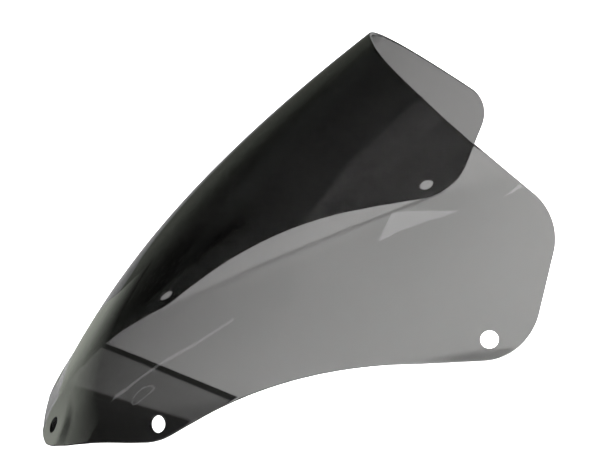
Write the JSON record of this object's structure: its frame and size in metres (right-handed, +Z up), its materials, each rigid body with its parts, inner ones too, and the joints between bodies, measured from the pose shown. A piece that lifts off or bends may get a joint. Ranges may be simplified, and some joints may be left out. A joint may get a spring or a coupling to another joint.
{
  "type": "motorcycle windscreen",
  "caption": "Smoked transparent windscreen for a sports motorcycle, formed from one acrylic sheet with a deep rounded crown, swept-back flanks and open mounting holes.",
  "frame": {"origin": "on the surface that the screen stands on, under the middle of its bounding box", "axes": "+X from the nose back towards the rider, +Y across the screen, +Z up; the screen stands on its nose and its two rear feet"},
  "size_m": [0.4028, 0.3224, 0.1905],
  "materials": {
    "smoked_acrylic": "smoked transparent, polished"
  },
  "bodies": {
    "root": {"windscreen_panel": "smoked_acrylic"}
  },
  "joints": []
}
